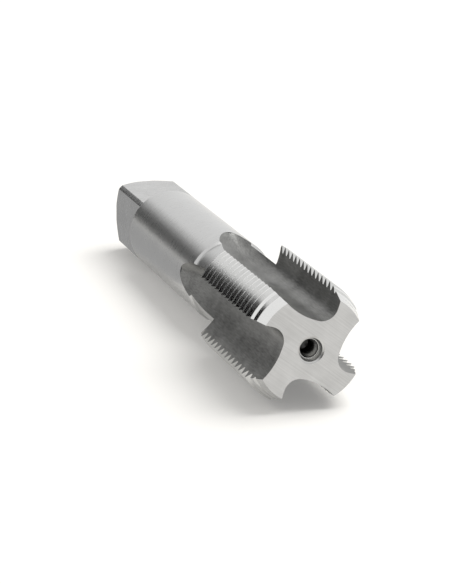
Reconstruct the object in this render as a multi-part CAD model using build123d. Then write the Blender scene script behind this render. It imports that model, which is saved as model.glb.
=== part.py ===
from build123d import *
from math import atan, cos, degrees, radians, sin, tan
import os

# Straight-flute hand tap for a 3/8 inch pipe thread, lying as it comes to rest.
# Built along local Z with the cutting end's face at Z = 0 and the shank below it.
# Angles are seen from the cutting end, counter-clockwise, millimetres throughout.

# thread, 55 degree form
thread_d = 16.662
pitch = 25.4 / 19
flank_angle = 27.5
thread_depth = 0.6403 * pitch
crest_flat = pitch / 6
thread_len = 22.0
thread_start = 0.18

# tapered lead at the cutting end
lead_d = 14.25
lead_len = 3.6

# neck, shank and driving square
total_len = 70.0
neck_d = 11.4
shank_d = 12.0
shank_start = 31.0
square_af = 9.0
square_len = 12.0
square_end_d = 9.3

# flutes: hooked cutting face, corner arc, long heel curve, cutter run-out
flute_count = 4
core_r = 3.85
corner_r = 2.08
heel_curve_r = 8.06
heel_depth = 3.33
hook_in = 5.85
hook_sink = 0.33
hook_lead = 0.50
land_angle = 29.5
flute_len = 34.6
cutter_r = 25.0

# centre holes, 60 degrees
centre_rim_d = 3.4
centre_pilot_d = 1.85
centre_pilot_depth = 3.4
centre_edge = 0.12

thread_r = thread_d / 2
shank_r = shank_d / 2
neck_r = neck_d / 2

# where the crest line of the cutting face and the heel reach the full diameter
crest_angle = degrees(atan(hook_lead / thread_r))
heel_angle = 360 / flute_count - land_angle
flute_middle = (crest_angle + heel_angle) / 2


def turned_blank():
    """Turned outline: lead, threaded length, neck, shank and end chamfer."""
    step = shank_r - neck_r
    end_drop = shank_r - square_end_d / 2
    land_edge = 0.25
    corner = (shank_r, -total_len + end_drop)
    rim = (square_end_d / 2, -total_len)
    bulge = 0.05
    on_chamfer = ((corner[0] + rim[0]) / 2 + bulge, (corner[1] + rim[1]) / 2 - bulge)
    front = [
        (0, -total_len),
        (0, 0),
        (lead_d / 2, 0),
        (thread_r, -lead_len),
        (thread_r, -thread_len + land_edge),
        (thread_r - land_edge, -thread_len),
        (neck_r, -thread_len),
        (neck_r, -shank_start + step),
        (shank_r, -shank_start),
        corner,
    ]
    outline = Polyline(*front) + ThreePointArc(corner, on_chamfer, rim)
    outline += Line(rim, (0, -total_len))
    face = make_face(Plane.XZ * outline)
    return revolve(face, Axis.Z)


def groove_turn():
    """One right-hand turn of the groove; both its ends lie open in a flute."""
    over = 0.15
    root_r = thread_r - thread_depth
    slope = tan(radians(flank_angle))
    root_half = crest_flat / 2
    top_half = root_half + (thread_depth + over) * slope
    section = [
        (root_r, -root_half),
        (thread_r + over, -top_half),
        (thread_r + over, top_half),
        (root_r, root_half),
    ]
    face = make_face(Plane.XZ * Polyline(*section, close=True))
    turn = sweep(face, path=Helix(pitch, pitch, root_r), is_frenet=True)
    return Rot(0, 0, flute_middle) * turn


def flute_profile():
    """Section of one flute; its cutting corner lies on +X at the lead's face."""
    hook_start = (hook_in, -hook_sink)
    hook_face = (lead_d / 2, 0)
    hook_crest = (thread_r, hook_lead)
    past_hook = (thread_r + 1.4, hook_lead + 0.75)
    tip = radians(heel_angle)
    heel_crest = (thread_r * cos(tip), thread_r * sin(tip))
    past_heel = (heel_crest[0] + 0.65, heel_crest[1] + 1.35)
    heel_mid = (heel_depth, 0.40 * thread_r)
    bottom = (core_r * cos(radians(20)), core_r * sin(radians(20)))
    corner_mid = (hook_in - 0.86 * corner_r, -hook_sink + 0.34 * corner_r)
    edges = [
        Line(past_hook, hook_crest),
        ThreePointArc(hook_crest, hook_face, hook_start),
        ThreePointArc(hook_start, corner_mid, bottom),
        ThreePointArc(bottom, heel_mid, heel_crest),
        Line(heel_crest, past_heel),
        Line(past_heel, past_hook),
    ]
    return make_face(edges)


def flute_tool():
    """Straight groove, then the arc that the milling cutter leaves."""
    rise = shank_r - core_r
    run_out = (cutter_r ** 2 - (cutter_r - rise) ** 2) ** 0.5
    straight = flute_len - run_out
    profile = flute_profile()
    groove = extrude(Pos(0, 0, 1) * profile, amount=-(straight + 1))
    away = radians(flute_middle)
    reach = core_r + cutter_r
    pivot = (reach * cos(away), reach * sin(away), -straight)
    across = (sin(away), -cos(away), 0)
    end = revolve(Pos(0, 0, -straight) * profile, Axis(pivot, across), 50)
    return groove + end


def centre_hole(z, up):
    """Centre hole with its mouth at height z, opening along up."""
    rim = centre_rim_d / 2
    pilot = centre_pilot_d / 2
    cone = (rim - pilot) / tan(radians(30))
    outline = [
        (0, centre_edge),
        (rim + 2 * centre_edge, centre_edge),
        (rim, -centre_edge),
        (pilot, -centre_edge - cone),
        (pilot, -centre_edge - centre_pilot_depth),
        (0, -centre_edge - centre_pilot_depth - pilot * tan(radians(31))),
    ]
    face = make_face(Plane.XZ * Polyline(*outline, close=True))
    tool = revolve(face, Axis.Z)
    turn = 0 if up else 180
    return Pos(0, 0, z) * Rot(turn, 0, 0) * tool


def driving_square():
    """What the milling of the four flats takes off the end of the shank."""
    z = -total_len + square_len / 2 - 1
    bar = Pos(0, 0, z) * Box(3 * shank_d, 3 * shank_d, square_len + 2)
    keep = Pos(0, 0, z) * Box(square_af, square_af, square_len + 4)
    return bar - keep


tap = turned_blank()
for number in range(flute_count):
    tap -= Rot(0, 0, number * 360 / flute_count) * flute_tool()
for turn in range(int(thread_len / pitch) + 2):
    tap -= Pos(0, 0, -thread_start - turn * pitch) * groove_turn()
tap -= Rot(0, 0, flute_middle) * driving_square()
tap -= centre_hole(0, True)
tap -= centre_hole(-total_len, False)

# At rest one flute faces down: the back ends of the two lands beside it and
# the end of the shank's full round touch the ground.
half_open = (heel_angle - crest_angle) / 2
land_height = thread_r * cos(radians(half_open))
tilt = degrees(atan((land_height - shank_r) / (total_len - square_len - thread_len)))
lying = Plane(origin=(0, 0, 0), x_dir=(0, 1, 0), z_dir=(1, 0, 0))
tap = lying * (Rot(0, 0, -90 - flute_middle) * tap)
tap = Rot(0, -tilt, 0) * tap
box = tap.bounding_box()
middle = (box.min + box.max) / 2
tap = Pos(-middle.X, -middle.Y, -box.min.Z) * tap

os.makedirs("parts", exist_ok=True)
export_step(tap, "parts/thread_tap.step")
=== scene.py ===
import bpy
import bmesh
import math
import numpy as np
from mathutils import Matrix, Vector
from mathutils.geometry import tessellate_polygon


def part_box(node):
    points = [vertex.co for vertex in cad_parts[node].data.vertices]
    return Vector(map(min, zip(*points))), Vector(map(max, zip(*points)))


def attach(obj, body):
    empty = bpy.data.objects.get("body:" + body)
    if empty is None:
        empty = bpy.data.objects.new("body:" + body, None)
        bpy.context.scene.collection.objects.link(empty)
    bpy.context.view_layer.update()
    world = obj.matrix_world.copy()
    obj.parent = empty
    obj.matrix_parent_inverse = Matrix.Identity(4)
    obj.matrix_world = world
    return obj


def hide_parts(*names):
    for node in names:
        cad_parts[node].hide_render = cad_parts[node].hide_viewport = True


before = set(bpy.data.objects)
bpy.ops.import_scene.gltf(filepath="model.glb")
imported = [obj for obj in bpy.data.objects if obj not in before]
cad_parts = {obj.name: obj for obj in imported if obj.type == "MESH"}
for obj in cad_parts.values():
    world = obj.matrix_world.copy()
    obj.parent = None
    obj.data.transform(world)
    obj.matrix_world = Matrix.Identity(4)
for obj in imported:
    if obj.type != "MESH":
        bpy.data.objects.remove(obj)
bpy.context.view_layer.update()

# Sizes of the tap in millimetres. In its own frame the cutting end's face is at z = 0 and
# the shank lies below it. Depths w are counted from that face. Angles are in radians and
# counter-clockwise as seen from the cutting end.
THREAD_R = 8.331
PITCH = 25.4 / 19
THREAD_LEN = 22.0
THREAD_START = 0.18
THREAD_DEPTH = 0.6403 * PITCH
CREST_FLAT = PITCH / 6
FLANK = math.radians(27.5)
LEAD_R = 7.125
LEAD_LEN = 3.6
LAND_EDGE = 0.25

# neck, shank and driving square
NECK_R = 5.7
SHANK_R = 6.0
SHANK_START = 31.0
TOTAL = 70.0
SQ_HALF = 4.5
SQ_LEN = 12.0
END_R = 4.65

# flutes: hooked cutting face, corner, heel curve and the cutter's run-out
FLUTES = 4
QUARTER = 2 * math.pi / FLUTES
CORE_R = 3.85
CORE_ANG = math.radians(20)
CORNER_R = 2.08
CORNER_BACK = 0.86 * CORNER_R
CORNER_UP = 0.34 * CORNER_R
HEEL_X = 3.33
HEEL_Y = 0.40 * THREAD_R
HEEL_ANG = QUARTER - math.radians(29.5)
HOOK_IN = 5.85
HOOK_SINK = 0.33
HOOK_LEAD = 0.50
FLUTE_LEN = 34.6
CUTTER_R = 25.0

# centre holes: rim, 60 degree cone, pilot, and the fine steps that the drill leaves,
# which are placed by counting equal steps down the cone
RIM_R = 1.7
PILOT_R = 0.925
PILOT_DEPTH = 3.4
CONE_HALF = math.radians(30)
TIP_SLOPE = math.radians(31)
EDGE = 0.12
CONE_STEPS = 12
GUARD_END = 4
RING_AT = 6
GUARD_IN = 0.14
GUARD_DROP = 0.02
RING_IN = 0.06
RING_DROP = 0.01

# middle of a flute, tilt at rest, and where the flutes start to run out
CREST_ANG = math.atan(HOOK_LEAD / THREAD_R)
MIDDLE = (CREST_ANG + HEEL_ANG) / 2
TILT = math.atan((THREAD_R * math.cos((HEEL_ANG - CREST_ANG) / 2) - SHANK_R)
                 / (TOTAL - SQ_LEN - THREAD_LEN))
RUN_OUT = math.sqrt(CUTTER_R ** 2 - (CUTTER_R - (SHANK_R - CORE_R)) ** 2)
STRAIGHT = FLUTE_LEN - RUN_OUT

# steps along the three arcs of a flute's outline
HOOK_STEPS = 60
CORNER_STEPS = 80
HEEL_STEPS = 120

# mesh columns across each surface, and the least angle of an edge that stays sharp
LAND_COLS = 12
FLUTE_COLS = 26
NECK_COLS = 20
BACK_COLS = 40
TURNED_COLS = 96
SHARP_ANG = math.radians(22)


# The flute's outline
def arc3(a, b, c, n):
    """n + 1 points on the arc from a through b to c."""
    (ax, ay), (bx, by), (cx, cy) = a, b, c
    twice = 2 * (ax * (by - cy) + bx * (cy - ay) + cx * (ay - by))
    a_sq, b_sq, c_sq = (x ** 2 + y ** 2 for x, y in (a, b, c))
    ux = (a_sq * (by - cy) + b_sq * (cy - ay) + c_sq * (ay - by)) / twice
    uy = (a_sq * (cx - bx) + b_sq * (ax - cx) + c_sq * (bx - ax)) / twice
    from_a, from_b, from_c = (math.atan2(y - uy, x - ux) for x, y in (a, b, c))
    full = 2 * math.pi
    sweep = (from_c - from_a) % full
    if (from_b - from_a) % full > sweep:
        sweep -= full
    radius = math.hypot(ax - ux, ay - uy)
    angles = from_a + sweep * np.linspace(0, 1, n + 1)
    return np.stack([ux + radius * np.cos(angles), uy + radius * np.sin(angles)], 1)


def flute_curve():
    """Outline of one flute, from its cutting edge near +X round to its heel."""
    hook_crest = (THREAD_R, HOOK_LEAD)
    hook_face = (LEAD_R, 0.0)
    hook_start = (HOOK_IN, -HOOK_SINK)
    corner_mid = (HOOK_IN - CORNER_BACK, -HOOK_SINK + CORNER_UP)
    bottom = (CORE_R * math.cos(CORE_ANG), CORE_R * math.sin(CORE_ANG))
    heel_mid = (HEEL_X, HEEL_Y)
    heel_crest = (THREAD_R * math.cos(HEEL_ANG), THREAD_R * math.sin(HEEL_ANG))
    curve = np.concatenate([
        arc3(hook_crest, hook_face, hook_start, HOOK_STEPS)[:-1],
        arc3(hook_start, corner_mid, bottom, CORNER_STEPS)[:-1],
        arc3(bottom, heel_mid, heel_crest, HEEL_STEPS)])
    # a little more at both ends, so that the outline passes every radius in use
    spare = 4
    first = curve[0] + (curve[0] - curve[1]) * spare
    last = curve[-1] + (curve[-1] - curve[-2]) * spare
    return np.concatenate([[first], curve, [last]])


CURVE = flute_curve()
OUTWARD = np.array([math.cos(MIDDLE), math.sin(MIDDLE)])
ACROSS = np.array([-math.sin(MIDDLE), math.cos(MIDDLE)])


def curve_at(w):
    """The flute's outline at that depth, lifted where the cutter runs out."""
    past = max(0.0, w - STRAIGHT)
    if past == 0:
        return CURVE
    pivot = CORE_R + CUTTER_R
    reach = pivot - CURVE @ OUTWARD
    out = pivot - np.sqrt(np.maximum(reach ** 2 - past ** 2, 1e-6))
    return np.outer(out, OUTWARD) + np.outer(CURVE @ ACROSS, ACROSS)


def crossing(curve, radius, cutting):
    """Fractional index at which the outline passes that radius, on either side."""
    r = np.hypot(curve[:, 0], curve[:, 1])
    step = -1 if cutting else 1
    end = 0 if cutting else len(r) - 1
    i = int(np.argmin(r))
    if r[i] >= radius:
        return float(i)
    while i != end and r[i + step] < radius:
        i += step
    if i == end:
        return float(i)
    return i + step * (radius - r[i]) / (r[i + step] - r[i])


def on_curve(curve, places):
    """Points of the outline at fractional indices."""
    i = np.minimum(np.floor(places).astype(int), len(curve) - 2)
    f = (places - i)[..., None]
    return curve[i] * (1 - f) + curve[i + 1] * f


def turned(points, angle):
    """Those xy points turned about the tap's axis."""
    c = math.cos(angle)
    s = math.sin(angle)
    return points @ np.array([[c, s], [-s, c]])


known_edges = {}


def edge_at(radius, cutting):
    """Angle and fractional index of a straight flute's edge at that radius."""
    key = (round(radius, 5), cutting)
    if key not in known_edges:
        place = crossing(CURVE, radius, cutting)
        x, y = on_curve(CURVE, np.array([place]))[0]
        known_edges[key] = (math.atan2(y, x), place)
    return known_edges[key]


def land_angle(radius, share, land):
    """Angle across a land: share 0 is its heel edge, 1 its cutting edge."""
    heel = edge_at(radius, False)[0] - QUARTER
    cut = edge_at(radius, True)[0]
    return land * QUARTER + heel + share * (cut - heel)


# The thread. Its rows follow the helix and are counted in pitches.
HALF_ROOT = CREST_FLAT / 2
HALF_TOP = HALF_ROOT + THREAD_DEPTH * math.tan(FLANK)
FLANK_ROWS = [HALF_ROOT + (HALF_TOP - HALF_ROOT) * k / 4 for k in range(5)]
BREAKS = [0.0, *FLANK_ROWS, PITCH / 2]
PHASES = [b / PITCH for b in BREAKS] + [1 - b / PITCH for b in BREAKS[-2:0:-1]]


def thread_rows():
    """Every row, from before the face to past the thread's end."""
    spare = 3
    turns = range(-spare, int(THREAD_LEN / PITCH) + spare + 1)
    return [turn + phase for turn in turns for phase in PHASES]


def thread_radius(row):
    """Radius over one pitch; a whole row number is the middle of the root."""
    x = abs(((row + 0.5) % 1.0) - 0.5) * PITCH
    root = THREAD_R - THREAD_DEPTH
    if x <= HALF_ROOT:
        return root
    if x >= HALF_TOP:
        return THREAD_R
    return root + (x - HALF_ROOT) / (HALF_TOP - HALF_ROOT) * THREAD_DEPTH


def envelope(w):
    """Radius of the crests at that depth: lead, full thread or the lands' back edge."""
    edge_start = THREAD_LEN - LAND_EDGE
    if w < LEAD_LEN:
        return LEAD_R + (THREAD_R - LEAD_R) * w / LEAD_LEN
    if w > edge_start:
        return THREAD_R - (w - edge_start)
    return THREAD_R


def depth_on_row(row, angle):
    """Depth of a helix row at that angle."""
    return THREAD_START + row * PITCH - PITCH * (angle - MIDDLE) / (2 * math.pi)


def row_at_end(angle):
    """Row that meets the thread's end at that angle."""
    return (THREAD_LEN - THREAD_START + PITCH * (angle - MIDDLE) / (2 * math.pi)) / PITCH


def row_point(row, share, land):
    """Radius, angle and depth on a land; its edges depend on the radius, so it settles."""
    radius = THREAD_R
    rounds = 5
    for _ in range(rounds):
        angle = land_angle(radius, share, land)
        w = min(max(depth_on_row(row, angle), 0.0), THREAD_LEN)
        radius = min(thread_radius(row), envelope(w))
    return radius, angle, w


# Mesh helpers
def build_mesh(name, verts, faces):
    """A mesh object without doubles, slivers or loose points."""
    me = bpy.data.meshes.new(name)
    me.from_pydata([tuple(v) for v in verts], [], faces)
    bm = bmesh.new()
    bm.from_mesh(me)
    bmesh.ops.remove_doubles(bm, verts=bm.verts, dist=2e-6)
    bmesh.ops.dissolve_degenerate(bm, dist=1e-7, edges=bm.edges)
    loose = [v for v in bm.verts if not v.link_faces]
    bmesh.ops.delete(bm, geom=loose, context="VERTS")
    bmesh.ops.recalc_face_normals(bm, faces=bm.faces)
    bm.to_mesh(me)
    bm.free()
    ob = bpy.data.objects.new(name, me)
    bpy.context.collection.objects.link(ob)
    return ob


def combine(parts):
    """Several (verts, faces) pairs as one."""
    verts, faces = [], []
    for v, f in parts:
        k = len(verts)
        verts += v
        faces += [tuple(i + k for i in q) for q in f]
    return verts, faces


def local(radius, angle, w):
    """A point of the tap's own frame in metres."""
    return radius * math.cos(angle) / 1000, radius * math.sin(angle) / 1000, -w / 1000


def grid_faces(rows, cols, offset=0):
    """Faces of an open grid of rows times cols points."""
    out = []
    for i in range(rows - 1):
        for j in range(cols - 1):
            a = offset + i * cols + j
            out.append((a, a + 1, a + cols + 1, a + cols))
    return out


def ring_faces(rings, count, offset=0):
    """Faces between closed rings of count points each."""
    out = []
    for i in range(rings - 1):
        for j in range(count):
            a = offset + i * count + j
            b = offset + i * count + (j + 1) % count
            out.append((a, b, b + count, a + count))
    return out


# Surfaces of the threaded end
def make_lands():
    """The threaded outside of the four lands."""
    rows = thread_rows()
    verts, faces = [], []
    for land in range(FLUTES):
        offset = len(verts)
        for row in rows:
            verts += [local(*row_point(row, j / LAND_COLS, land)) for j in range(LAND_COLS + 1)]
        faces += grid_faces(len(rows), LAND_COLS + 1, offset)
    return verts, faces


def make_flutes():
    """The four flutes along the thread; their edges follow the teeth."""
    rows = thread_rows()
    shares = np.linspace(0, 1, FLUTE_COLS + 1)
    verts, faces = [], []
    for n in range(FLUTES):
        offset = len(verts)
        for row in rows:
            cut_r, _, cut_w = row_point(row, 1.0, n)
            heel_r, _, heel_w = row_point(row, 0.0, n + 1)
            cut = edge_at(cut_r, True)[1]
            heel = edge_at(heel_r, False)[1]
            points = turned(on_curve(CURVE, cut + (heel - cut) * shares), n * QUARTER)
            depths = cut_w + (heel_w - cut_w) * shares
            verts += [(x / 1000, y / 1000, -w / 1000) for (x, y), w in zip(points, depths)]
        faces += grid_faces(len(rows), FLUTE_COLS + 1, offset)
    return verts, faces


def make_land_backs():
    """The flat back end of each land, from the neck out to the thread."""
    steps = 8
    rounds = 6
    verts, faces = [], []
    for land in range(FLUTES):
        offset = len(verts)
        for i in range(steps + 1):
            for j in range(BACK_COLS + 1):
                share = j / BACK_COLS
                rim = THREAD_R
                for _ in range(rounds):
                    row = row_at_end(land_angle(rim, share, land))
                    rim = min(thread_radius(row), THREAD_R - LAND_EDGE)
                radius = NECK_R + (rim - NECK_R) * i / steps
                verts.append(local(radius, land_angle(radius, share, land), THREAD_LEN))
        faces += grid_faces(steps + 1, BACK_COLS + 1, offset)
    return verts, faces


def face_outline():
    """Outline of the cutting end's face, over lands and flutes in turn."""
    land_points = 16
    flute_points = 40
    points = []
    for n in range(FLUTES):
        angles = [land_angle(LEAD_R, j / land_points, n) for j in range(land_points)]
        points += [(LEAD_R * math.cos(a), LEAD_R * math.sin(a)) for a in angles]
        cut = edge_at(LEAD_R, True)[1]
        heel = edge_at(LEAD_R, False)[1]
        shares = np.arange(flute_points) / flute_points
        points += [tuple(p) for p in turned(on_curve(CURVE, cut + (heel - cut) * shares), n * QUARTER)]
    return points


def make_face():
    """The cutting end's face, with the centre hole's mouth left open."""
    mouth = RIM_R + EDGE
    ring_angles = [2 * math.pi * k / TURNED_COLS for k in range(TURNED_COLS)]
    ring = [(mouth * math.cos(a), mouth * math.sin(a)) for a in ring_angles]
    loops = [[Vector((x, y, 0)) for x, y in loop] for loop in (face_outline(), ring)]
    verts = [(v.x / 1000, v.y / 1000, 0.0) for loop in loops for v in loop]
    return verts, [tuple(t) for t in tessellate_polygon(loops)]


# Surfaces of the neck, shank and square
def body_radius(w):
    """Radius of the neck, of the shank and of the slope between them."""
    step = SHANK_R - NECK_R
    if w <= SHANK_START - step:
        return NECK_R
    if w < SHANK_START:
        return NECK_R + (w - (SHANK_START - step))
    return SHANK_R


def neck_depths():
    """Depths of the rings from the thread's end to the end of the flutes."""
    slope_start = SHANK_START - (SHANK_R - NECK_R)
    stops = [THREAD_LEN, STRAIGHT, slope_start, SHANK_START, FLUTE_LEN]
    counts = [5, 23, 3, 35]
    depths = [THREAD_LEN]
    for near, far, count in zip(stops, stops[1:], counts):
        depths += list(np.linspace(near, far, count + 1))[1:]
    return depths


def flute_behind(w):
    """The flute's outline at that depth, and where it meets the round body."""
    curve = curve_at(w)
    radius = body_radius(w)
    return curve, crossing(curve, radius, True), crossing(curve, radius, False)


def make_neck():
    """Round of the neck and of the shank's front, between the flutes."""
    depths = neck_depths()
    verts, faces = [], []
    for n in range(FLUTES):
        offset = len(verts)
        for w in depths:
            curve, at_cut, at_heel = flute_behind(w)
            (cut_x, cut_y), (heel_x, heel_y) = on_curve(curve, np.array([at_cut, at_heel]))
            cut = math.atan2(cut_y, cut_x)
            heel = math.atan2(heel_y, heel_x) - QUARTER
            for j in range(NECK_COLS + 1):
                angle = n * QUARTER + heel + j / NECK_COLS * (cut - heel)
                verts.append(local(body_radius(w), angle, w))
        faces += grid_faces(len(depths), NECK_COLS + 1, offset)
    return verts, faces


def make_run_outs():
    """The flutes behind the thread, up to where they run out."""
    depths = neck_depths()
    shares = np.linspace(0, 1, FLUTE_COLS + 1)
    verts, faces = [], []
    for n in range(FLUTES):
        offset = len(verts)
        for w in depths:
            curve, at_cut, at_heel = flute_behind(w)
            points = turned(on_curve(curve, at_cut + (at_heel - at_cut) * shares), n * QUARTER)
            verts += [(x / 1000, y / 1000, -w / 1000) for x, y in points]
        faces += grid_faces(len(depths), FLUTE_COLS + 1, offset)
    return verts, faces


def square_angles():
    """Angles round the shank, with the ends of the four flats among them."""
    half = math.acos(SQ_HALF / SHANK_R)
    gap = math.pi / 2 - 2 * half
    flat_points = 29
    corner_steps = 8
    out = []
    for n in range(4):
        mid = MIDDLE + n * math.pi / 2
        out += list(mid + np.linspace(-half, half, flat_points))
        out += list(mid + half + gap * np.arange(1, corner_steps) / corner_steps)
    return out


def square_radius(angle):
    """Radius of the driving square, whose corners keep the shank's round."""
    off_flat = (angle - MIDDLE + math.pi / 4) % (math.pi / 2) - math.pi / 4
    return min(SHANK_R, SQ_HALF / math.cos(off_flat))


def make_shank():
    """Round shank from the end of the flutes to the square's shoulder."""
    rings = 40
    depths = np.linspace(FLUTE_LEN, TOTAL - SQ_LEN, rings)
    angles = square_angles()
    verts = [local(SHANK_R, a, w) for w in depths for a in angles]
    return verts, ring_faces(len(depths), len(angles))


def make_square():
    """Shoulder, four flats with round corners, end chamfer and back face."""
    angles = square_angles()
    shoulder = TOTAL - SQ_LEN
    mouth = RIM_R + EDGE
    sides = [square_radius(a) for a in angles]
    rims = [min(END_R, side) for side in sides]
    chamfers = [TOTAL - (side - rim) for side, rim in zip(sides, rims)]
    # each band leads from one (radius, depth) per angle to the next, in that many rings
    stations = [
        [(SHANK_R, shoulder) for _ in angles],
        [(side, shoulder) for side in sides],
        list(zip(sides, chamfers)),
        [(rim, TOTAL) for rim in rims],
        [(mouth, TOTAL) for _ in angles],
    ]
    verts, faces = [], []
    for near, far, rings in zip(stations, stations[1:], [4, 20, 5, 7]):
        offset = len(verts)
        for f in np.linspace(0, 1, rings):
            verts += [local(r0 + (r1 - r0) * f, a, w0 + (w1 - w0) * f)
                      for a, (r0, w0), (r1, w1) in zip(angles, near, far)]
        faces += ring_faces(rings, len(angles), offset)
    return verts, faces


def on_cone(step):
    """Radius and depth on a centre hole's cone, that many steps from its rim."""
    cone = (RIM_R - PILOT_R) / math.tan(CONE_HALF)
    share = step / CONE_STEPS
    return RIM_R + (PILOT_R - RIM_R) * share, EDGE + cone * share


def centre_outline():
    """Radius and depth down a centre hole: guard chamfer, cone with a ring, pilot."""
    bottom = EDGE + PILOT_DEPTH
    ring_r, ring_w = on_cone(RING_AT)
    out = [(RIM_R + EDGE, 0), (RIM_R - GUARD_IN, EDGE + GUARD_DROP)]
    out += [on_cone(k) for k in range(GUARD_END, RING_AT + 1)]
    out.append((ring_r - RING_IN, ring_w + RING_DROP))
    out += [on_cone(k) for k in range(RING_AT + 2, CONE_STEPS + 1)]
    out += [(PILOT_R, bottom), (0, bottom + PILOT_R * math.tan(TIP_SLOPE))]
    return out


def make_centre(mouth, into):
    """A centre hole with its mouth at that depth, leading back (1) or forward (-1)."""
    outline = centre_outline()
    tip = 1e-5
    verts = [local(max(radius, tip), 2 * math.pi * j / TURNED_COLS, mouth + into * w)
             for radius, w in outline for j in range(TURNED_COLS)]
    return verts, ring_faces(len(outline), TURNED_COLS)


# The pieces
outer = build_mesh("tap_lands", *combine([make_lands(), make_land_backs()]))
flutes = build_mesh("tap_flutes", *combine([make_flutes(), make_run_outs()]))
face = build_mesh("tap_face", *make_face())
shank = build_mesh("tap_shank", *combine([make_neck(), make_shank()]))
square = build_mesh("tap_square", *make_square())
centre = build_mesh("tap_centre", *combine([make_centre(0.0, 1), make_centre(TOTAL, -1)]))
pieces = [outer, flutes, face, shank, square, centre]


def laid_down():
    """Turn from the tap's own frame to how it lies at rest, one flute facing down."""
    turn = Matrix.Rotation(-math.pi / 2 - MIDDLE, 4, "Z")
    lying = Matrix(((0, 0, 1, 0), (1, 0, 0, 0), (0, 1, 0, 0), (0, 0, 0, 1)))
    return Matrix.Rotation(-TILT, 4, "Y") @ lying @ turn


def place_in_frame(turn):
    """That turn with the shift that brings the tap's box onto the CAD node's."""
    box_lo, box_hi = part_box("thread_tap")
    points = [turn @ Vector(v.co) for o in (outer, square) for v in o.data.vertices]
    own_lo = Vector([min(p[k] for p in points) for k in range(3)])
    own_hi = Vector([max(p[k] for p in points) for k in range(3)])
    shift = (Vector(box_lo) + Vector(box_hi) - own_lo - own_hi) / 2
    shift.z = box_hi[2] - own_hi.z
    return Matrix.Translation(shift) @ turn


OWN_TO_WORLD = place_in_frame(laid_down())
for o in pieces:
    o.data.transform(OWN_TO_WORLD)
    o.data.shade_smooth()
    o.data.set_sharp_from_angle(angle=SHARP_ANG)
    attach(o, "root")
    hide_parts("thread_tap")


# Node helpers for the materials. Most of a noise's values lie in this range.
NOISE_RANGE = (0.3, 0.7)


def new_mat(name):
    """A material with an empty Principled shader."""
    m = bpy.data.materials.new(name)
    m.use_nodes = True
    nt = m.node_tree
    nt.nodes.clear()
    out = nt.nodes.new("ShaderNodeOutputMaterial")
    bsdf = nt.nodes.new("ShaderNodeBsdfPrincipled")
    nt.links.new(bsdf.outputs["BSDF"], out.inputs["Surface"])
    return m, nt, bsdf


def tap_coords(nt):
    """Object coordinates turned into the tap's own frame, in millimetres."""
    coords = nt.nodes.new("ShaderNodeTexCoord")
    mapping = nt.nodes.new("ShaderNodeMapping")
    mapping.vector_type = "POINT"
    inverse = OWN_TO_WORLD.inverted()
    mapping.inputs["Location"].default_value = [1000 * v for v in inverse.to_translation()]
    mapping.inputs["Rotation"].default_value = inverse.to_euler("XYZ")
    mapping.inputs["Scale"].default_value = (1000, 1000, 1000)
    nt.links.new(coords.outputs["Object"], mapping.inputs["Vector"])
    return mapping.outputs["Vector"]


def rotated(nt, vec, degrees):
    """Coordinates turned about the tap's axis, so that X runs at that angle."""
    rot = nt.nodes.new("ShaderNodeVectorRotate")
    rot.rotation_type = "Z_AXIS"
    rot.inputs["Angle"].default_value = math.radians(-degrees)
    nt.links.new(vec, rot.inputs["Vector"])
    return rot.outputs["Vector"]


def stretched(nt, vec, scale):
    """Coordinates scaled by axis, which draws the grain out along the small ones."""
    mul = nt.nodes.new("ShaderNodeVectorMath")
    mul.operation = "MULTIPLY"
    mul.inputs[1].default_value = scale
    nt.links.new(vec, mul.inputs[0])
    return mul.outputs["Vector"]


def noise(nt, vec, scale, detail, rough):
    """Noise value at those coordinates."""
    n = nt.nodes.new("ShaderNodeTexNoise")
    n.inputs["Scale"].default_value = scale
    n.inputs["Detail"].default_value = detail
    n.inputs["Roughness"].default_value = rough
    nt.links.new(vec, n.inputs["Vector"])
    return n.outputs["Fac"]


def ramp(nt, fac, dark, light):
    """Colour from dark to light over the middle of a noise's range."""
    r = nt.nodes.new("ShaderNodeValToRGB")
    for element, place, colour in zip(r.color_ramp.elements, NOISE_RANGE, (dark, light)):
        element.position = place
        element.color = (*colour, 1)
    nt.links.new(fac, r.inputs["Fac"])
    return r.outputs["Color"]


def map_range(nt, value, from_min, from_max, to_min, to_max):
    """Value carried from one range to another, held at its ends."""
    m = nt.nodes.new("ShaderNodeMapRange")
    m.inputs["From Min"].default_value = from_min
    m.inputs["From Max"].default_value = from_max
    m.inputs["To Min"].default_value = to_min
    m.inputs["To Max"].default_value = to_max
    nt.links.new(value, m.inputs["Value"])
    return m.outputs["Result"]


def bump(nt, height, strength, distance):
    """Normal bumped by that height."""
    b = nt.nodes.new("ShaderNodeBump")
    b.inputs["Strength"].default_value = strength
    b.inputs["Distance"].default_value = distance
    nt.links.new(height, b.inputs["Height"])
    return b.outputs["Normal"]


def calc(nt, operation, a, b):
    """One sum on two sockets or numbers."""
    m = nt.nodes.new("ShaderNodeMath")
    m.operation = operation
    for socket, value in zip(m.inputs, (a, b)):
        if isinstance(value, (int, float)):
            socket.default_value = value
        else:
            nt.links.new(value, socket)
    return m.outputs[0]


def own_axes(nt):
    """X, Y and Z of the tap's own frame, in millimetres."""
    split = nt.nodes.new("ShaderNodeSeparateXYZ")
    nt.links.new(tap_coords(nt), split.inputs[0])
    return split.outputs


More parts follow.
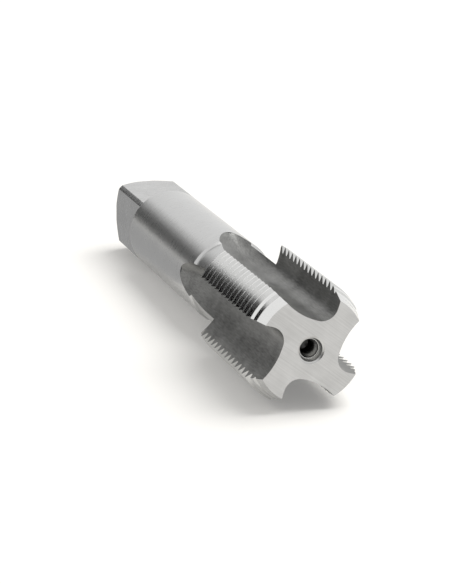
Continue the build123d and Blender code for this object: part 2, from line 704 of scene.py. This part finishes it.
# Steel, as it was ground, milled or drilled
def steel(name, dark, light, roughness, grain, strength, bump_mm, turn=0.0):
    """Steel with streaks drawn out by grain, which sets the streaks per millimetre."""
    m, nt, b = new_mat(name)
    vec = tap_coords(nt)
    along = rotated(nt, vec, turn) if turn else vec
    streak = noise(nt, stretched(nt, along, grain), scale=1.0, detail=4.0, rough=0.65)
    cloud = noise(nt, vec, scale=0.35, detail=2.0, rough=0.5)
    cloud_share = 0.35
    both = nt.nodes.new("ShaderNodeMix")
    both.data_type = "FLOAT"
    both.inputs[0].default_value = cloud_share
    nt.links.new(streak, both.inputs[2])
    nt.links.new(cloud, both.inputs[3])
    nt.links.new(ramp(nt, both.outputs[0], dark, light), b.inputs["Base Color"])
    nt.links.new(map_range(nt, streak, *NOISE_RANGE, *roughness), b.inputs["Roughness"])
    nt.links.new(bump(nt, streak, strength, bump_mm / 1000), b.inputs["Normal"])
    b.inputs["Metallic"].default_value = 1.0
    return m


def mix_in(nt, socket, mask, kind, value):
    """Blend what feeds the socket towards one value where the mask is 1."""
    inputs, output = ((6, 7), 2) if kind == "RGBA" else ((2, 3), 0)
    mix = nt.nodes.new("ShaderNodeMix")
    mix.data_type = kind
    nt.links.new(mask, mix.inputs[0])
    nt.links.new(socket.links[0].from_socket, mix.inputs[inputs[0]])
    mix.inputs[inputs[1]].default_value = value
    nt.links.new(mix.outputs[output], socket)


def dull_crests_painted_highlight(m):
    """Duller crests on the threads, straight and on the lead, whose lighter colour is a painted
    highlight.
    """
    nt = m.node_tree
    b = nt.nodes["Principled BSDF"]
    x, y, z = own_axes(nt)
    squares = calc(nt, "ADD", calc(nt, "MULTIPLY", x, x), calc(nt, "MULTIPLY", y, y))
    radius = calc(nt, "SQRT", squares, 0.0)
    slope = (THREAD_R - LEAD_R) / LEAD_LEN
    lead = calc(nt, "ADD", calc(nt, "MULTIPLY", z, -slope), LEAD_R)
    below = calc(nt, "SUBTRACT", radius, calc(nt, "MINIMUM", lead, THREAD_R))
    band = 0.05
    # painted highlight: the crests' lighter colour stands in for the bright lines they reflect; the
    # lower roughness is their duller grinding
    crest_highlight_tone = (0.74, 0.74, 0.73, 1)
    roughness = 0.24
    crest = map_range(nt, below, -band, 0.0, 0.0, 1.0)
    mix_in(nt, b.inputs["Base Color"], crest, "RGBA", crest_highlight_tone)
    mix_in(nt, b.inputs["Roughness"], crest, "FLOAT", roughness)


def painted_hole_shade(m):
    """Painted shade: the centre holes' colour darkens with depth from the nearer end."""
    nt = m.node_tree
    socket = nt.nodes["Principled BSDF"].inputs["Base Color"]
    z = own_axes(nt)[2]
    depth = calc(nt, "MINIMUM", calc(nt, "MULTIPLY", z, -1.0), calc(nt, "ADD", z, TOTAL))
    # painted shade: full colour down to the first depth, darkening to the share left at the second
    unshaded_to = 1.1
    dark_from = 2.2
    left = 0.12
    dim = nt.nodes.new("ShaderNodeVectorMath")
    dim.operation = "SCALE"
    nt.links.new(socket.links[0].from_socket, dim.inputs[0])
    nt.links.new(map_range(nt, depth, unshaded_to, dark_from, 1.0, left), dim.inputs["Scale"])
    nt.links.new(dim.outputs[0], socket)


# direction of the grinding lines on the face, in degrees from the tap's own +X
FACE_LINES = 84.0
mat_face = steel("ground_face", dark=(0.44, 0.44, 0.438), light=(0.61, 0.61, 0.608),
                 roughness=(0.34, 0.46), grain=(0.12, 5.0, 1.0), strength=0.35, bump_mm=0.004,
                 turn=FACE_LINES)
mat_land = steel("ground_land", dark=(0.58, 0.58, 0.57), light=(0.70, 0.70, 0.69),
                 roughness=(0.14, 0.18), grain=(1.0, 1.0, 3.0), strength=0.02, bump_mm=0.0005)
dull_crests_painted_highlight(mat_land)
mat_flute = steel("milled_flute", dark=(0.085, 0.085, 0.082), light=(0.265, 0.265, 0.256),
                  roughness=(0.32, 0.48), grain=(6.5, 6.5, 0.9), strength=0.6, bump_mm=0.006)
mat_shank = steel("ground_shank", dark=(0.50, 0.50, 0.495), light=(0.555, 0.555, 0.55),
                  roughness=(0.27, 0.29), grain=(0.6, 0.6, 9.0), strength=0.05, bump_mm=0.0006)
mat_square = steel("milled_square", dark=(0.40, 0.40, 0.395), light=(0.55, 0.55, 0.545),
                   roughness=(0.24, 0.28), grain=(1.0, 1.0, 6.0), strength=0.05, bump_mm=0.001)
mat_centre = steel("drilled_centre", dark=(0.34, 0.34, 0.33), light=(0.66, 0.66, 0.65),
                   roughness=(0.24, 0.40), grain=(0.4, 0.4, 9.0), strength=0.6, bump_mm=0.008)
painted_hole_shade(mat_centre)
for o, m in ((outer, mat_land), (flutes, mat_flute), (face, mat_face), (shank, mat_shank),
             (square, mat_square), (centre, mat_centre)):
    o.data.materials.append(m)

# Camera, fitted to the photograph: focal length in its pixels, and the turn (an axis
# times an angle) and place in metres of the tap seen from the camera
PHOTO = (452, 584)
FOCAL_PX = 2432.2267
SENSOR_MM = 36.0
FIT_TURN = Vector((0.4374, -0.1522, -1.0345))
FIT_PLACE = Vector((0.0105839, 0.0072297, 0.3022443))


def photo_camera():
    """Camera at the photograph's place. The fit counts y down and z away from it."""
    to_camera = Matrix.Rotation(FIT_TURN.length, 3, FIT_TURN.normalized())
    fit_from_own = Matrix(((-1, 0, 0), (0, 1, 0), (0, 0, -1)))
    flip = Matrix(((1, 0, 0), (0, -1, 0), (0, 0, -1)))
    world_from_camera = OWN_TO_WORLD.to_3x3() @ (flip @ to_camera @ fit_from_own).inverted()
    data = bpy.data.cameras.new("camera")
    data.sensor_width = SENSOR_MM
    data.lens = FOCAL_PX * SENSOR_MM / max(PHOTO)
    near = 0.01
    far = 10
    data.clip_start = near
    data.clip_end = far
    ob = bpy.data.objects.new("camera", data)
    bpy.context.collection.objects.link(ob)
    place = OWN_TO_WORLD.to_translation() - world_from_camera @ (flip @ FIT_PLACE)
    ob.matrix_world = Matrix.Translation(place) @ world_from_camera.to_4x4()
    return ob


bpy.context.scene.camera = photo_camera()


# Floor, cards and light
def flat_piece(name, corners, mat):
    """A flat four-cornered piece of the studio."""
    me = bpy.data.meshes.new(name)
    me.from_pydata([tuple(c) for c in corners], [], [(0, 1, 2, 3)])
    me.materials.append(mat)
    ob = bpy.data.objects.new(name, me)
    bpy.context.collection.objects.link(ob)
    return ob


def plain(name, colour, strength=None):
    """A plain matt material, or an even glow where a strength is given."""
    m = bpy.data.materials.new(name)
    m.use_nodes = True
    nt = m.node_tree
    nt.nodes.clear()
    out = nt.nodes.new("ShaderNodeOutputMaterial")
    kind = "ShaderNodeBsdfDiffuse" if strength is None else "ShaderNodeEmission"
    sh = nt.nodes.new(kind)
    sh.inputs["Color"].default_value = (*colour, 1)
    if strength is not None:
        sh.inputs["Strength"].default_value = strength
    nt.links.new(sh.outputs[0], out.inputs["Surface"])
    return m


def direction(azimuth, elevation):
    """Unit vector from the tap, angles in degrees."""
    a = math.radians(azimuth)
    e = math.radians(elevation)
    return Vector((math.cos(e) * math.cos(a), math.cos(e) * math.sin(a), math.sin(e)))


def card(name, azimuth, elevation, half_w, half_h, distance, mat):
    """A card facing the tap that only reflections show, half sizes in degrees."""
    out = direction(azimuth, elevation)
    a = math.radians(azimuth)
    side = Vector((-math.sin(a), math.cos(a), 0)) * distance * math.tan(math.radians(half_w))
    up = out.cross(side).normalized() * distance * math.tan(math.radians(half_h))
    if up.z < 0:
        up.negate()
    mid = out * distance
    ob = flat_piece(name, [mid - side - up, mid + side - up, mid + side + up, mid - side + up], mat)
    ob.visible_camera = False
    ob.visible_shadow = False


def ray_switch(nt, kinds):
    """1 for rays of those kinds, 0 for the others."""
    path = nt.nodes.new("ShaderNodeLightPath")
    out = path.outputs[kinds[0]]
    for kind in kinds[1:]:
        out = calc(nt, "MAXIMUM", out, path.outputs[kind])
    return out


def paper_floor():
    """Pale floor that keeps the shadow and is lifted to white where it is seen."""
    lift = 0.22
    paper = plain("paper", (0.80, 0.785, 0.755))
    nt = paper.node_tree
    glow = nt.nodes.new("ShaderNodeEmission")
    glow.inputs["Color"].default_value = (1, 0.995, 0.98, 1)
    nt.links.new(map_range(nt, ray_switch(nt, SEEN_BY), 0, 1, 0.0, lift), glow.inputs["Strength"])
    add = nt.nodes.new("ShaderNodeAddShader")
    nt.links.new(nt.nodes["Diffuse BSDF"].outputs[0], add.inputs[0])
    nt.links.new(glow.outputs[0], add.inputs[1])
    nt.links.new(add.outputs[0], nt.nodes["Material Output"].inputs["Surface"])
    half = 2.0
    flat_piece("floor", [(-half, -half, 0), (half, -half, 0), (half, half, 0), (-half, half, 0)], paper)


def painted_shade_sheet():
    """Sheet on the floor behind the tap that only reflections in the steel show; its even grey glow is
    painted shade, standing in for the tap's shadow on the floor.
    """
    height = 0.0003
    back_x = -0.20
    front_x = -0.012
    outer_y = -0.10
    corners = [(back_x, outer_y), (front_x, outer_y), (front_x, -0.0085), (back_x, 0.02)]
    # painted shade: a grey glow where the steel reflects the shaded floor
    shade_glow = plain("shade_glow", (1, 1, 1), strength=0.5)
    sheet = flat_piece("painted_shade_sheet", [(x, y, height) for x, y in corners], shade_glow)
    sheet.visible_camera = False
    sheet.visible_shadow = False
    sheet.visible_diffuse = False


def white_world():
    """World that is white where it is seen and lights the tap at a plain level."""
    plain_level = 0.45
    world = bpy.data.worlds.new("studio")
    bpy.context.scene.world = world
    world.use_nodes = True
    nt = world.node_tree
    back = nt.nodes["Background"]
    back.inputs["Color"].default_value = (1, 1, 1, 1)
    level = map_range(nt, ray_switch(nt, SEEN_BY), 0, 1, plain_level, 1.0)
    nt.links.new(level, back.inputs["Strength"])


def sun(name, azimuth, elevation, angle, strength):
    """Soft sun from that direction, angles in degrees."""
    li = bpy.data.lights.new(name, "SUN")
    li.angle = math.radians(angle)
    li.energy = strength
    ob = bpy.data.objects.new(name, li)
    bpy.context.collection.objects.link(ob)
    ob.rotation_mode = "QUATERNION"
    ob.rotation_quaternion = (-direction(azimuth, elevation)).to_track_quat("-Z", "Y")


# rays that show a surface, in place of lighting one
SEEN_BY = ["Is Camera Ray", "Is Glossy Ray", "Is Transmission Ray"]
paper_floor()
black = plain("black_card", (0.01, 0.01, 0.01))
card("dark_left", azimuth=-159, elevation=10.0, half_w=15, half_h=9.0, distance=0.6, mat=black)
card("dark_front", azimuth=-33, elevation=12.0, half_w=20, half_h=14.8, distance=0.5, mat=black)
painted_shade_sheet()
white_world()
sun("key", azimuth=98, elevation=66, angle=45, strength=2.3)

sc = bpy.context.scene
sc.view_settings.view_transform = "Standard"
